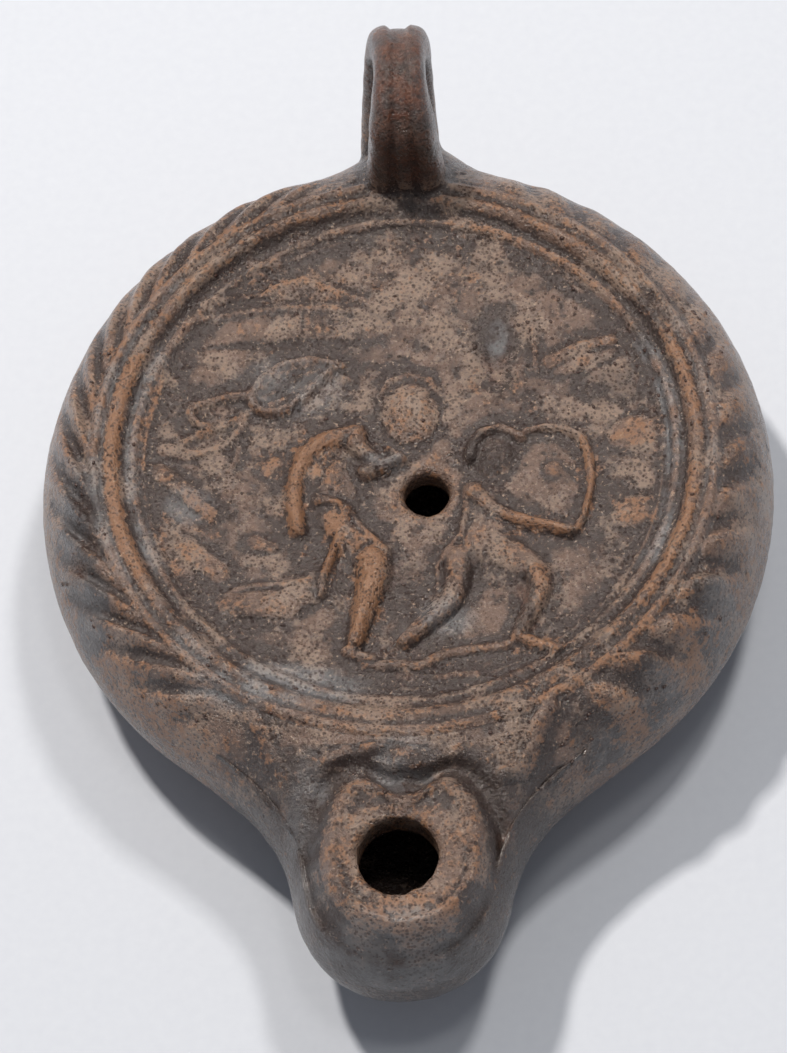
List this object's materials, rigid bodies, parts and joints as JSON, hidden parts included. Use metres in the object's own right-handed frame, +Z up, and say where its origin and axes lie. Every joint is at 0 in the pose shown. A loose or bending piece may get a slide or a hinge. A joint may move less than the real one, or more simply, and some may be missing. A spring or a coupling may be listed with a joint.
{
  "type": "roman oil lamp",
  "caption": "Round mould-made terracotta oil lamp: hollow body, sunk discus with relief figures and a fill hole, short nozzle with a wick hole, grooved ring handle.",
  "frame": {"origin": "middle of the flat base, on the surface that the lamp stands on", "axes": "+Z up, -Y towards the tip of the nozzle, +Y towards the handle, X across"},
  "size_m": [0.085, 0.1134, 0.0425],
  "materials": {
    "slipped_terracotta": "worn satin slip"
  },
  "bodies": {
    "root": {"oil_lamp": "slipped_terracotta"}
  },
  "joints": []
}
